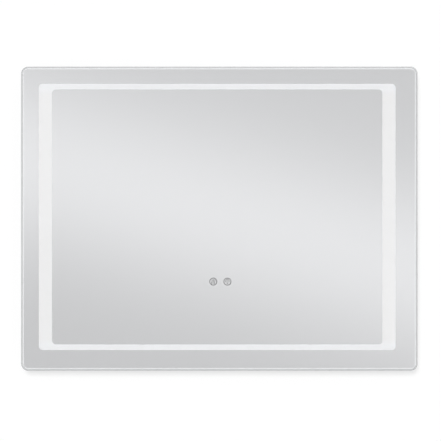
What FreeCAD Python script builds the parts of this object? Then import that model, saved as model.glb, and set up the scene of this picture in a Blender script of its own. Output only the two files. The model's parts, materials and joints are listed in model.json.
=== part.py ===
import FreeCAD, Part

import math
import os

from FreeCAD import Vector

# Lighted bathroom mirror, hung on a wall.
#
# Millimetres. +X is right and +Z up for someone facing the mirror, and +Y points into the wall.
# The origin lies on the wall, midway between the two screw holes of the wall rail.
# From the wall outwards: a Z-shaped rail screwed to the wall, the mirror's own hooked rail, a steel
# back cover, a mitred aluminium chassis with four light trays, the driver, the touch sensor and the
# heating pad in its hollow, and a bevelled glass pane with its silvering and safety film.
# The mirror hangs by its rail's hook alone and lifts straight up off the wall rail.

# ---- glass pane ----------------------------------------------------------------------------------
GLASS_WIDTH = 914.0
GLASS_HEIGHT = 701.0
GLASS_THICKNESS = 5.0
GLASS_CORNER_RADIUS = 16.0
BEVEL_WIDTH = 5.2
BEVEL_DEPTH = 2.4
EDGE_ROUND = 1.2

# ---- lit window: a frosted ring left clear of silver, broad at the sides and slim at the ends ----
# The margins run from the window's outer edge to the edge of the glass, and aren't quite equal.
WINDOW_MARGIN_LEFT = 40.6
WINDOW_MARGIN_RIGHT = 50.4
WINDOW_MARGIN_TOP = 39.4
WINDOW_MARGIN_BOTTOM = 47.6
WINDOW_SIDE_BAND = 30.6
WINDOW_END_BAND = 13.0
WINDOW_OUTER_RADIUS = 9.0
WINDOW_INNER_RADIUS = 9.0
WINDOW_SEAM = 0.05

# ---- silvering and safety film behind the glass --------------------------------------------------
COAT_THICKNESS = 0.2
COAT_GAP = 0.05
COAT_INSET = 0.8
FILM_THICKNESS = 0.2
FILM_WINDOW_GAP = 0.5

# ---- touch icons, etched through the silvering ---------------------------------------------------
ICON_SPACING = 32.6
ICON_DIAMETER = 17.6
ICON_STROKE = 1.4
ICON_SHIFT_X = 2.3
ICON_BELOW_CENTRE = 145.1
ICON_SEAM = 0.03
GLYPH_STROKE = 1.1
WAVE_HEIGHT = 10.4
WAVE_SWING = 0.8
WAVE_PITCH = 3.4
WAVE_COUNT = 3
BULB_RADIUS = 3.9
BULB_NECK_ANGLE = 40.0
BULB_LIFT = 1.4
BULB_BASE_WIDTH = 2.4
BULB_BASE_BARS = 2
BULB_BAR_PITCH = 1.5
BULB_FILAMENT = 2.8

# ---- depth of the stack --------------------------------------------------------------------------
WALL_GAP = 7.0
COVER_THICKNESS = 1.0
CHASSIS_DEPTH = 24.0
TAPE_THICKNESS = 1.0
RAIL_BELOW_TOP = 140.0

# ---- chassis: four mitred C sections -------------------------------------------------------------
CHASSIS_TRAY_GAP = 2.1
CHASSIS_WALL = 1.4
CHASSIS_FLANGE = 9.0
TAPE_EDGE = 0.75
BRACKET_LEG = 32.0
BRACKET_THICKNESS = 2.0
BRACKET_CLEARANCE = 0.3
CORNER_SCREW_FROM_CORNER = 22.0

# ---- light trays behind the window ---------------------------------------------------------------
TRAY_MARGIN = 1.5
TRAY_WALL = 0.8
TRAY_SEAM = 0.4
DIFFUSER_THICKNESS = 2.0
STRIP_WIDTH_SIDE = 10.0
STRIP_WIDTH_END = 8.0
STRIP_THICKNESS = 0.4
STRIP_END_GAP = 6.0
CHIP_LENGTH = 3.5
CHIP_WIDTH = 2.8
CHIP_HEIGHT = 0.8
CHIP_PITCH = 33.3
JUMPER_DIAMETER = 2.4
JUMPER_REACH = 6.0

# ---- back cover ----------------------------------------------------------------------------------
COVER_INSET = 0.5
COVER_CORNER_RADIUS = 3.0
COVER_SCREW_INSET = 5.2
COVER_SCREWS_ACROSS = 5
COVER_SCREWS_UP = 4
BEAD_LENGTH = 400.0
BEAD_WIDTH = 14.0
BEAD_HEIGHT = 1.6
BEAD_FROM_DRIVER = 48.0
BEAD_SHIFT_Z = -20.0
VENT_LENGTH = 34.0
VENT_WIDTH = 4.0
VENT_PITCH = 9.0
VENT_COUNT = 8
VENT_X = 170.0
VENT_ABOVE_CENTRE = -150.0

# ---- screws --------------------------------------------------------------------------------------
SCREW_RADIUS = 1.5
SCREW_LENGTH = 5.0
SCREW_HEAD_RADIUS = 2.9
SCREW_HEAD_HEIGHT = 1.9
SCREW_HEAD_ROUND = 1.0
SCREW_CLEARANCE = 0.1
RECESS_LENGTH = 3.0
RECESS_WIDTH = 0.8
RECESS_DEPTH = 1.0
TRAY_SCREW_OFFSET_SIDE = 11.0
TRAY_SCREW_OFFSET_END = 5.6
TRAY_SCREWS_SIDE = 3
TRAY_SCREWS_END = 4
TRAY_SCREW_END_GAP = 60.0

# ---- wall rail and the mirror's own rail: two Z sections that hook together ----------------------
RAIL_LENGTH = 520.0
RAIL_THICKNESS = 1.6
RAIL_WEB_BELOW = 14.0
RAIL_WEB_ABOVE = 14.0
HOOK_HEIGHT = 14.0
HOOK_POCKET = 2.0
HOOK_SIDE_CLEARANCE = 0.3
HOOK_TOP_CLEARANCE = 0.4
RAIL_EDGE_ROUND = 0.5
WALL_HOLE_RADIUS = 2.6
WALL_HOLE_SPACING = 406.4
HANGER_LENGTH = 500.0
HANGER_WEB_HEIGHT = 26.0
HANGER_SCREW_SPACING = 150.0
HANGER_SCREWS = 4
HANGER_SCREW_LENGTH = 9.0
BACKING_BAR_THICKNESS = 2.0
BACKING_BAR_HEIGHT = 20.0

# ---- rubber bumpers that keep the bottom edge off the wall ---------------------------------------
BUMPER_RADIUS = 13.0
BUMPER_FROM_SIDE = 90.0
BUMPER_FROM_BOTTOM = 74.0
BUMPER_COUNTERBORE_RADIUS = 4.5
BUMPER_SEAT_DEPTH = 3.0
BUMPER_EDGE_ROUND = 1.2

# ---- heating pad ---------------------------------------------------------------------------------
PAD_WIDTH = 420.0
PAD_HEIGHT = 280.0
PAD_THICKNESS = 0.6
PAD_CORNER_RADIUS = 12.0
PAD_ABOVE_CENTRE = 50.0
PAD_TERMINAL_WIDTH = 24.0
PAD_TERMINAL_HEIGHT = 14.0
PAD_TERMINAL_DEPTH = 7.0
PAD_TERMINAL_X = 150.0
PAD_TERMINAL_FROM_EDGE = 12.0

# ---- touch sensor behind the icons ---------------------------------------------------------------
SENSOR_WIDTH = 66.0
SENSOR_HEIGHT = 30.0
SENSOR_DEPTH = 10.0
SENSOR_WALL = 1.5
SENSOR_BOARD_THICKNESS = 1.2
SENSOR_BOARD_CLEARANCE = 0.5
CONTACT_RADIUS = 8.0
CONTACT_THICKNESS = 0.6
CONTACT_STEM_RADIUS = 1.5

# ---- LED driver ----------------------------------------------------------------------------------
DRIVER_LENGTH = 160.0
DRIVER_HEIGHT = 42.0
DRIVER_PAD_GAP = 2.8
DRIVER_WALL = 1.6
DRIVER_LID_THICKNESS = 1.6
DRIVER_FROM_BOX = 44.0
DRIVER_BELOW_RAIL = 110.0
DRIVER_EAR_LENGTH = 12.0
DRIVER_EAR_THICKNESS = 2.0
DRIVER_POST_RADIUS = 2.0
DRIVER_POST_HEIGHT = 1.4
DRIVER_POST_INSET = 5.0
DRIVER_BOARD_THICKNESS = 1.6
DRIVER_BOARD_CLEARANCE = 0.6
TRANSFORMER_LENGTH = 24.0
TRANSFORMER_HEIGHT = 20.0
TRANSFORMER_LID_GAP = 3.0
CAPACITOR_RADIUS = 5.0
CAPACITOR_LID_GAP = 4.5
CAPACITOR_COUNT = 3
CAPACITOR_PITCH = 13.0

# ---- junction box, set into the back cover -------------------------------------------------------
BOX_WIDTH = 92.0
BOX_HEIGHT = 62.0
BOX_PAD_GAP = 4.4
BOX_WALL = 2.0
BOX_X = 0.0
BOX_BELOW_RAIL = 110.0
BOX_LIP = 3.0
BOX_BOSS_RADIUS = 4.0
BOX_BOSS_SINK = 0.8
BOX_SCREW_GRIP = 8.0
LID_THICKNESS = 1.5
LID_OVERLAP = 5.0
LID_CORNER_RADIUS = 6.0
TERMINAL_LENGTH = 34.0
TERMINAL_HEIGHT = 20.0
TERMINAL_DEPTH = 13.0
TERMINAL_POLES = 3
TERMINAL_GROOVE = 1.2
TERMINAL_SCREW_RADIUS = 2.0
TERMINAL_SCREW_STAND = 0.6
TERMINAL_SHIFT_X = 17.0
GROMMET_X = -22.0
GROMMET_BORE_RADIUS = 4.2
GROMMET_NECK_RADIUS = 6.5
GROMMET_FLANGE_RADIUS = 9.0
GROMMET_FLANGE_THICKNESS = 1.8
GROMMET_CLEARANCE = 0.1

# ---- leads inside the casing ---------------------------------------------------------------------
MAINS_LEAD_DIAMETER = 5.0
LED_LEAD_DIAMETER = 4.0
SENSOR_LEAD_DIAMETER = 3.2
LEAD_HOLE_CLEARANCE = 0.2
LEAD_REACH = 5.0
LEAD_BEND_RADIUS = 20.0
LEAD_BEND_SHARE = 0.45
LEAD_OFF_COVER = 5.0
LED_LEAD_FROM_DRIVER = 14.0
SENSOR_LEAD_X = -150.0
SENSOR_LEAD_RISE = 60.0
DRIVER_ENTRY_DEPTH = 12.0
LED_SADDLES = 3
LED_SADDLE_FROM_END = 0.2
SADDLE_WIDTH = 9.0
SADDLE_LENGTH = 7.0
SADDLE_CROWN = 1.2

# ---- places worked out from the sizes above ------------------------------------------------------
MIRROR_Z = RAIL_BELOW_TOP - GLASS_HEIGHT / 2
Y_COVER_BACK = -WALL_GAP
Y_COVER_FRONT = Y_COVER_BACK - COVER_THICKNESS
Y_CHASSIS_FRONT = Y_COVER_FRONT - CHASSIS_DEPTH
Y_FILM_BACK = Y_CHASSIS_FRONT - TAPE_THICKNESS
Y_FILM_FRONT = Y_FILM_BACK - FILM_THICKNESS
Y_COAT_FRONT = Y_FILM_FRONT - COAT_THICKNESS
Y_GLASS_BACK = Y_COAT_FRONT - COAT_GAP
Y_GLASS_FRONT = Y_GLASS_BACK - GLASS_THICKNESS

WINDOW_WIDTH = GLASS_WIDTH - WINDOW_MARGIN_LEFT - WINDOW_MARGIN_RIGHT
WINDOW_HEIGHT = GLASS_HEIGHT - WINDOW_MARGIN_TOP - WINDOW_MARGIN_BOTTOM
WINDOW_X = (WINDOW_MARGIN_LEFT - WINDOW_MARGIN_RIGHT) / 2
WINDOW_Z = MIRROR_Z + (WINDOW_MARGIN_BOTTOM - WINDOW_MARGIN_TOP) / 2
WINDOW_INNER_WIDTH = WINDOW_WIDTH - 2 * WINDOW_SIDE_BAND
WINDOW_INNER_HEIGHT = WINDOW_HEIGHT - 2 * WINDOW_END_BAND

ICON_Z = MIRROR_Z - ICON_BELOW_CENTRE
DEMIST_ICON_X = ICON_SHIFT_X - ICON_SPACING / 2
LIGHT_ICON_X = ICON_SHIFT_X + ICON_SPACING / 2

Y_TRAY_RIM = Y_FILM_BACK + DIFFUSER_THICKNESS
Y_TRAY_FLOOR = Y_COVER_FRONT - TRAY_WALL
Y_STRIP_FRONT = Y_TRAY_FLOOR - STRIP_THICKNESS
TRAY_EDGE = TRAY_MARGIN + TRAY_WALL

CHASSIS_INSET = (min(WINDOW_MARGIN_LEFT, WINDOW_MARGIN_RIGHT, WINDOW_MARGIN_TOP, WINDOW_MARGIN_BOTTOM)
                 - TRAY_EDGE - CHASSIS_TRAY_GAP - CHASSIS_FLANGE)
CHASSIS_WIDTH = GLASS_WIDTH - 2 * CHASSIS_INSET
CHASSIS_HEIGHT = GLASS_HEIGHT - 2 * CHASSIS_INSET
TAPE_WIDTH = CHASSIS_FLANGE - 2 * TAPE_EDGE

Z_SHELF = RAIL_WEB_ABOVE
Z_HOOK_TOP = Z_SHELF + HOOK_HEIGHT
Z_HANGER_SHELF = Z_HOOK_TOP + HOOK_TOP_CLEARANCE
Y_HANGER_BACK = Y_COVER_BACK + RAIL_THICKNESS

PAD_Z = MIRROR_Z + PAD_ABOVE_CENTRE
PAD_TERMINAL_BOTTOM = PAD_Z - PAD_HEIGHT / 2 + PAD_TERMINAL_FROM_EDGE
Y_PAD_BACK = Y_FILM_BACK + PAD_THICKNESS

BOX_Z = -BOX_BELOW_RAIL
Y_BOX_FLOOR = Y_PAD_BACK + BOX_PAD_GAP
BOX_SCREW_LENGTH = LID_THICKNESS + COVER_THICKNESS + BOX_SCREW_GRIP

DRIVER_X = BOX_X - BOX_WIDTH / 2 - DRIVER_FROM_BOX - DRIVER_LENGTH / 2
DRIVER_Z = -DRIVER_BELOW_RAIL
X_DRIVER_END = DRIVER_X - DRIVER_LENGTH / 2 - DRIVER_EAR_LENGTH
BEAD_X = BEAD_FROM_DRIVER - X_DRIVER_END
Y_DRIVER_RIM = Y_PAD_BACK + DRIVER_PAD_GAP + DRIVER_LID_THICKNESS
Y_DRIVER_FLOOR = Y_COVER_FRONT - DRIVER_WALL
Y_BOARD_BACK = Y_DRIVER_FLOOR - DRIVER_POST_HEIGHT
Y_BOARD_FRONT = Y_BOARD_BACK - DRIVER_BOARD_THICKNESS
Y_DRIVER_ENTRY = Y_COVER_FRONT - DRIVER_ENTRY_DEPTH

Y_SENSOR_BACK = Y_FILM_BACK + SENSOR_DEPTH
Y_SENSOR_BOARD = Y_SENSOR_BACK - SENSOR_WALL - SENSOR_BOARD_THICKNESS

Y_LEAD_COVER = Y_COVER_FRONT - LEAD_OFF_COVER
Y_LEAD_GLASS = (Y_FILM_BACK + Y_SENSOR_BOARD) / 2
LED_LEAD_X = X_DRIVER_END - LED_LEAD_FROM_DRIVER

TO_WALL = Vector(0, 1, 0)


# ---- basic shapes --------------------------------------------------------------------------------
def block(x0, x1, y0, y1, z0, z1):
    """A plain block between two opposite corners, given in any order."""
    low = Vector(min(x0, x1), min(y0, y1), min(z0, z1))
    return Part.makeBox(abs(x1 - x0), abs(y1 - y0), abs(z1 - z0), low)


def rod(start, end, radius):
    """A round bar from one point to another."""
    return Part.makeCylinder(radius, (end - start).Length, start, end - start)


def rod_y(x, z, y0, y1, radius):
    """A round bar along Y."""
    return rod(Vector(x, min(y0, y1), z), Vector(x, max(y0, y1), z), radius)


def outline(x, z, width, height, radius, y):
    """A rectangle with rounded corners about (x, z), upright in the plane at y."""
    corners = []
    for sx, sz, start in ((1, -1, 270), (1, 1, 0), (-1, 1, 90), (-1, -1, 180)):
        cx = x + sx * (width / 2 - radius)
        cz = z + sz * (height / 2 - radius)
        turn = [math.radians(start + step) for step in (0, 45, 90)]
        corners.append([Vector(cx + radius * math.cos(a), y, cz + radius * math.sin(a)) for a in turn])
    edges = []
    for i, points in enumerate(corners):
        edges.append(Part.Arc(*points).toShape())
        after = corners[(i + 1) % 4][0]
        if (after - points[2]).Length > 1e-6:
            edges.append(Part.LineSegment(points[2], after).toShape())
    return Part.Wire(edges)


def plate(x, z, width, height, radius, y0, y1):
    """A flat plate with rounded corners between two depths."""
    low, high = min(y0, y1), max(y0, y1)
    face = Part.Face(outline(x, z, width, height, radius, low))
    return face.extrude(Vector(0, high - low, 0))


def open_box(x0, x1, z0, z1, y_closed, y_open, wall):
    """A tray with a floor at y_closed, open at y_open."""
    toward = 1 if y_open > y_closed else -1
    outside = block(x0, x1, y_closed, y_open, z0, z1)
    inside = block(x0 + wall, x1 - wall, y_closed + toward * wall, y_open, z0 + wall, z1 - wall)
    return outside.cut(inside)


def spread(low, high, count):
    """count places from low to high, evenly apart."""
    if count < 2:
        return [(low + high) / 2]
    return [low + (high - low) * i / (count - 1) for i in range(count)]


def edges_at(shape, y):
    """The edges that lie wholly in the plane at y."""
    return [e for e in shape.Edges if abs(e.BoundBox.YMin - y) < 1e-6 and abs(e.BoundBox.YMax - y) < 1e-6]


def edges_along_x(shape, length):
    """The straight edges that run the full length along X."""
    return [e for e in shape.Edges if abs(e.BoundBox.XLength - length) < 1e-6 and e.BoundBox.YLength < 1e-6
            and e.BoundBox.ZLength < 1e-6]


def turned(shape, point, out):
    """shape, drawn at the origin about +Z, stood at point with its +Z along out."""
    copy = shape.copy()
    copy.Placement = FreeCAD.Placement(point, FreeCAD.Rotation(Vector(0, 0, 1), out))
    return copy


def lead(points, diameter):
    """A lead along straight runs, joined by tangent arcs of the bend radius or what the runs leave."""
    edges = []
    start = points[0]
    for before, corner, after in zip(points, points[1:], points[2:]):
        back = (before - corner).normalize()
        ahead = (after - corner).normalize()
        half = back.getAngle(ahead) / 2
        room = LEAD_BEND_SHARE * min((before - corner).Length, (after - corner).Length)
        setback = min(LEAD_BEND_RADIUS / math.tan(half), room)
        radius = setback * math.tan(half)
        middle = (back + ahead).normalize()
        first = corner + back * setback
        last = corner + ahead * setback
        summit = corner + middle * (radius / math.sin(half) - radius)
        edges.append(Part.LineSegment(start, first).toShape())
        edges.append(Part.Arc(first, summit, last).toShape())
        start = last
    edges.append(Part.LineSegment(start, points[-1]).toShape())
    section = Part.Circle(points[0], points[1] - points[0], diameter / 2).toShape()
    return Part.Wire(edges).makePipe(Part.Face(Part.Wire([section])))


# ---- screws --------------------------------------------------------------------------------------
def pan_screw(length):
    """A pan-head screw with a cross recess, its seat at the origin and its head towards +Z."""
    head = Part.makeCylinder(SCREW_HEAD_RADIUS, SCREW_HEAD_HEIGHT)
    rim = [e for e in head.Edges if abs(e.BoundBox.ZMin - SCREW_HEAD_HEIGHT) < 1e-6]
    head = head.makeFillet(SCREW_HEAD_ROUND, rim)
    shank = Part.makeCylinder(SCREW_RADIUS, length, Vector(0, 0, -length))
    screw = head.fuse(shank).removeSplitter()
    low = SCREW_HEAD_HEIGHT - RECESS_DEPTH
    for long_x, long_y in ((RECESS_LENGTH, RECESS_WIDTH), (RECESS_WIDTH, RECESS_LENGTH)):
        corner = Vector(-long_x / 2, -long_y / 2, low)
        screw = screw.cut(Part.makeBox(long_x, long_y, RECESS_DEPTH, corner))
    return screw


def screws_at(points, out, length=SCREW_LENGTH):
    """One screw at each point, heads along out, as separate solids."""
    pattern = pan_screw(length)
    return Part.makeCompound([turned(pattern, p, out) for p in points])


def drill(shape, points, axis, radius, reach):
    """shape with a round hole through it at each point, reach either way along axis."""
    for p in points:
        shape = shape.cut(rod(p - axis * reach, p + axis * reach, radius))
    return shape


def cover_screw_points():
    """Seats of the screws round the edge of the back cover, on its rear face."""
    half_x = CHASSIS_WIDTH / 2 - COVER_SCREW_INSET
    half_z = CHASSIS_HEIGHT / 2 - COVER_SCREW_INSET
    points = []
    for x in spread(-half_x, half_x, COVER_SCREWS_ACROSS):
        points += [Vector(x, Y_COVER_BACK, MIRROR_Z + s * half_z) for s in (-1, 1)]
    for z in spread(-half_z, half_z, COVER_SCREWS_UP)[1:-1]:
        points += [Vector(s * half_x, Y_COVER_BACK, MIRROR_Z + z) for s in (-1, 1)]
    return points


def corner_screw_points():
    """(seat, outward direction) of the screws through the chassis walls at its corners."""
    half_x, half_z = CHASSIS_WIDTH / 2, CHASSIS_HEIGHT / 2
    y = (Y_COVER_FRONT + Y_CHASSIS_FRONT) / 2
    along_x = half_x - CORNER_SCREW_FROM_CORNER
    along_z = half_z - CORNER_SCREW_FROM_CORNER
    found = []
    for sx in (-1, 1):
        for sz in (-1, 1):
            found.append((Vector(sx * along_x, y, MIRROR_Z + sz * half_z), Vector(0, 0, sz)))
            found.append((Vector(sx * half_x, y, MIRROR_Z + sz * along_z), Vector(sx, 0, 0)))
    return found


def hanger_screw_points():
    """Seats of the screws through the mirror's rail."""
    half = HANGER_SCREW_SPACING * (HANGER_SCREWS - 1) / 2
    z = Z_HANGER_SHELF + RAIL_THICKNESS + (HANGER_WEB_HEIGHT - RAIL_THICKNESS) / 2
    return [Vector(x, Y_HANGER_BACK, z) for x in spread(-half, half, HANGER_SCREWS)]


def bumper_points():
    """Where the bumpers stand on the back cover."""
    x = CHASSIS_WIDTH / 2 - BUMPER_FROM_SIDE
    z = MIRROR_Z - CHASSIS_HEIGHT / 2 + BUMPER_FROM_BOTTOM
    return [Vector(s * x, Y_COVER_BACK, z) for s in (-1, 1)]


def driver_screw_points():
    """Seats of the two screws that hold the driver's ears to the back cover."""
    reach = DRIVER_LENGTH / 2 + DRIVER_EAR_LENGTH / 2
    return [Vector(DRIVER_X + s * reach, Y_COVER_BACK, DRIVER_Z) for s in (-1, 1)]


def lid_screw_points():
    """Seats of the two screws at opposite corners of the junction box lid."""
    from_edge = BOX_WALL + BOX_BOSS_RADIUS - BOX_BOSS_SINK
    x = BOX_WIDTH / 2 - from_edge
    z = BOX_HEIGHT / 2 - from_edge
    y = Y_COVER_BACK + LID_THICKNESS
    return [Vector(BOX_X + s * x, y, BOX_Z + s * z) for s in (-1, 1)]


# ---- glass, silvering and film -------------------------------------------------------------------
def glass_pane():
    """The pane: polished edge, with a narrow bevel all round its front."""
    shape = (0, MIRROR_Z)
    y_bevel = Y_GLASS_FRONT + BEVEL_DEPTH
    body = plate(*shape, GLASS_WIDTH, GLASS_HEIGHT, GLASS_CORNER_RADIUS, Y_GLASS_BACK, y_bevel)
    foot = outline(*shape, GLASS_WIDTH, GLASS_HEIGHT, GLASS_CORNER_RADIUS, y_bevel)
    top = outline(*shape, GLASS_WIDTH - 2 * BEVEL_WIDTH, GLASS_HEIGHT - 2 * BEVEL_WIDTH,
                  GLASS_CORNER_RADIUS - BEVEL_WIDTH, Y_GLASS_FRONT)
    pane = body.fuse(Part.makeLoft([foot, top], True, True)).removeSplitter()
    return pane.makeFillet(EDGE_ROUND, edges_at(pane, y_bevel))


def window_outer(grow, y0, y1):
    """The window's outer outline as a plate, grown by grow on every side."""
    return plate(WINDOW_X, WINDOW_Z, WINDOW_WIDTH + 2 * grow, WINDOW_HEIGHT + 2 * grow,
                 WINDOW_OUTER_RADIUS + grow, y0, y1)


def window_inner(grow, y0, y1):
    """The window's inner outline as a plate, grown by grow on every side."""
    return plate(WINDOW_X, WINDOW_Z, WINDOW_INNER_WIDTH + 2 * grow, WINDOW_INNER_HEIGHT + 2 * grow,
                 WINDOW_INNER_RADIUS + grow, y0, y1)


def back_sheet(y0, y1):
    """A sheet as large as the glass, set in a little from its edge."""
    return plate(0, MIRROR_Z, GLASS_WIDTH - 2 * COAT_INSET, GLASS_HEIGHT - 2 * COAT_INSET,
                 GLASS_CORNER_RADIUS - COAT_INSET, y0, y1)


def silver_border():
    """The silvering outside the window."""
    return back_sheet(Y_FILM_FRONT, Y_COAT_FRONT).cut(window_outer(0, Y_FILM_FRONT, Y_COAT_FRONT))


def silver_centre():
    """The silvering inside the window, with both icons etched out of it."""
    sheet = window_inner(0, Y_FILM_FRONT, Y_COAT_FRONT)
    return sheet.cut(demist_icon(ICON_SEAM)).cut(light_icon(ICON_SEAM))


def frosted_window():
    """The sandblasted ring that the light comes through."""
    ring = window_outer(-WINDOW_SEAM, Y_FILM_FRONT, Y_COAT_FRONT)
    return ring.cut(window_inner(WINDOW_SEAM, Y_FILM_FRONT, Y_COAT_FRONT))


def safety_film_border():
    """The film behind the border."""
    sheet = back_sheet(Y_FILM_BACK, Y_FILM_FRONT)
    return sheet.cut(window_outer(FILM_WINDOW_GAP, Y_FILM_BACK, Y_FILM_FRONT))


def safety_film_centre():
    """The film behind the middle of the mirror."""
    return window_inner(-FILM_WINDOW_GAP, Y_FILM_BACK, Y_FILM_FRONT)


# ---- icons ---------------------------------------------------------------------------------------
def stroke_arc(x, z, radius, start, end, width):
    """A band of that width along an arc about (x, z), from one angle to another in degrees."""
    height = Y_FILM_FRONT - Y_COAT_FRONT
    inner, outer = radius - width / 2, radius + width / 2
    angles = [math.radians(a) for a in (start, (start + end) / 2, end)]

    def points(r):
        return [Vector(x + r * math.cos(a), Y_COAT_FRONT, z + r * math.sin(a)) for a in angles]

    far, near = points(outer), points(inner)
    edges = [Part.Arc(*far).toShape(), Part.LineSegment(far[2], near[2]).toShape(),
             Part.Arc(*reversed(near)).toShape(), Part.LineSegment(near[0], far[0]).toShape()]
    return Part.Face(Part.Wire(edges)).extrude(Vector(0, height, 0))


def icon_ring(x, seam):
    """The round border of an icon."""
    outer = ICON_DIAMETER / 2 + seam
    inner = ICON_DIAMETER / 2 - ICON_STROKE - seam
    disc = rod_y(x, ICON_Z, Y_COAT_FRONT, Y_FILM_FRONT, outer)
    return disc.cut(rod_y(x, ICON_Z, Y_COAT_FRONT, Y_FILM_FRONT, inner))


def demist_icon(seam=0.0):
    """A ring with rising waves, for the heating pad. seam widens every stroke on both sides."""
    width = GLYPH_STROKE + 2 * seam
    quarter = WAVE_HEIGHT / 4
    radius = (quarter ** 2 + WAVE_SWING ** 2) / (2 * WAVE_SWING)
    half = math.degrees(math.asin(quarter / radius))
    strokes = [icon_ring(DEMIST_ICON_X, seam)]
    for i in range(WAVE_COUNT):
        x = DEMIST_ICON_X + (i - (WAVE_COUNT - 1) / 2) * WAVE_PITCH
        set_back = radius - WAVE_SWING
        upper = stroke_arc(x - set_back, ICON_Z + quarter, radius, -half, half, width)
        lower = stroke_arc(x + set_back, ICON_Z - quarter, radius, 180 - half, 180 + half, width)
        strokes.append(upper.fuse(lower))
    return Part.makeCompound(strokes)


def light_bar(z, width, height):
    """A bar of the light icon, about the icon's upright middle line."""
    x0, x1 = LIGHT_ICON_X - width / 2, LIGHT_ICON_X + width / 2
    return block(x0, x1, Y_COAT_FRONT, Y_FILM_FRONT, z - height / 2, z + height / 2)


def light_icon(seam=0.0):
    """A ring with a bulb, its filament and its cap. seam widens every stroke on both sides."""
    width = GLYPH_STROKE + 2 * seam
    bulb_z = ICON_Z + BULB_LIFT
    bulb = stroke_arc(LIGHT_ICON_X, bulb_z, BULB_RADIUS, -90 + BULB_NECK_ANGLE,
                      270 - BULB_NECK_ANGLE, width)
    filament = light_bar(bulb_z, width, BULB_FILAMENT + 2 * seam)
    strokes = [icon_ring(LIGHT_ICON_X, seam), bulb, filament]
    neck_z = bulb_z - BULB_RADIUS * math.cos(math.radians(BULB_NECK_ANGLE))
    for i in range(BULB_BASE_BARS):
        strokes.append(light_bar(neck_z - (i + 1) * BULB_BAR_PITCH, BULB_BASE_WIDTH + 2 * seam, width))
    return Part.makeCompound(strokes)


# ---- chassis -------------------------------------------------------------------------------------
SIDES = {"left": (-1, 0), "right": (1, 0), "top": (0, 1), "bottom": (0, -1)}


def mitred_strip(side, width, y0, y1):
    """A strip of that width along one side of the chassis, cut at 45 degrees at both ends."""
    sx, sz = SIDES[side]
    half_x, half_z = CHASSIS_WIDTH / 2, CHASSIS_HEIGHT / 2
    if sx:
        corners = [(sx * half_x, -half_z), (sx * half_x, half_z),
                   (sx * (half_x - width), half_z - width), (sx * (half_x - width), width - half_z)]
    else:
        corners = [(-half_x, sz * half_z), (half_x, sz * half_z),
                   (half_x - width, sz * (half_z - width)), (width - half_x, sz * (half_z - width))]
    low, high = min(y0, y1), max(y0, y1)
    points = [Vector(x, low, MIRROR_Z + z) for x, z in corners]
    return Part.Face(Part.makePolygon(points + points[:1])).extrude(Vector(0, high - low, 0))


def chassis_side(side):
    """One C section of the chassis, drilled for its cover screws and corner screws."""
    wall = mitred_strip(side, CHASSIS_WALL, Y_COVER_FRONT, Y_CHASSIS_FRONT)
    front = mitred_strip(side, CHASSIS_FLANGE, Y_CHASSIS_FRONT, Y_CHASSIS_FRONT + CHASSIS_WALL)
    back = mitred_strip(side, CHASSIS_FLANGE, Y_COVER_FRONT - CHASSIS_WALL, Y_COVER_FRONT)
    section = wall.fuse([front, back]).removeSplitter()
    hole = SCREW_RADIUS + SCREW_CLEARANCE
    section = drill(section, cover_screw_points(), TO_WALL, hole, SCREW_LENGTH)
    for point, out in corner_screw_points():
        section = drill(section, [point], out, hole, SCREW_LENGTH)
    return section


def bonding_tape():
    """Four strips of foam tape between the chassis and the back of the glass."""
    edge = (CHASSIS_FLANGE - TAPE_WIDTH) / 2
    x1, z1 = CHASSIS_WIDTH / 2 - edge, CHASSIS_HEIGHT / 2 - edge
    x0, z0 = x1 - TAPE_WIDTH, z1 - TAPE_WIDTH
    strips = []
    for s in (-1, 1):
        strips.append(block(-x1, x1, Y_FILM_BACK, Y_CHASSIS_FRONT, MIRROR_Z + s * z0, MIRROR_Z + s * z1))
        strips.append(block(s * x0, s * x1, Y_FILM_BACK, Y_CHASSIS_FRONT, MIRROR_Z - z0, MIRROR_Z + z0))
    return Part.makeCompound(strips)


def corner_brackets():
    """Four steel angles inside the corners of the chassis."""
    y0 = Y_CHASSIS_FRONT + CHASSIS_WALL + BRACKET_CLEARANCE
    y1 = Y_COVER_FRONT - CHASSIS_WALL - BRACKET_CLEARANCE
    x1, z1 = CHASSIS_WIDTH / 2 - CHASSIS_WALL, CHASSIS_HEIGHT / 2 - CHASSIS_WALL
    x0, z0 = x1 - BRACKET_THICKNESS, z1 - BRACKET_THICKNESS
    hole = SCREW_RADIUS + SCREW_CLEARANCE
    brackets = []
    for sx in (-1, 1):
        for sz in (-1, 1):
            upright = block(sx * x0, sx * x1, y0, y1, MIRROR_Z + sz * z1, MIRROR_Z + sz * (z1 - BRACKET_LEG))
            level = block(sx * x1, sx * (x1 - BRACKET_LEG), y0, y1, MIRROR_Z + sz * z0, MIRROR_Z + sz * z1)
            bracket = upright.fuse(level).removeSplitter()
            bracket = drill(bracket, cover_screw_points(), TO_WALL, hole, SCREW_LENGTH)
            for point, out in corner_screw_points():
                bracket = drill(bracket, [point], out, hole, SCREW_LENGTH)
            brackets.append(bracket)
    return Part.makeCompound(brackets)


def corner_screws():
    """Two screws through the chassis walls at each corner."""
    pattern = pan_screw(SCREW_LENGTH)
    return Part.makeCompound([turned(pattern, point, out) for point, out in corner_screw_points()])


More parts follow.
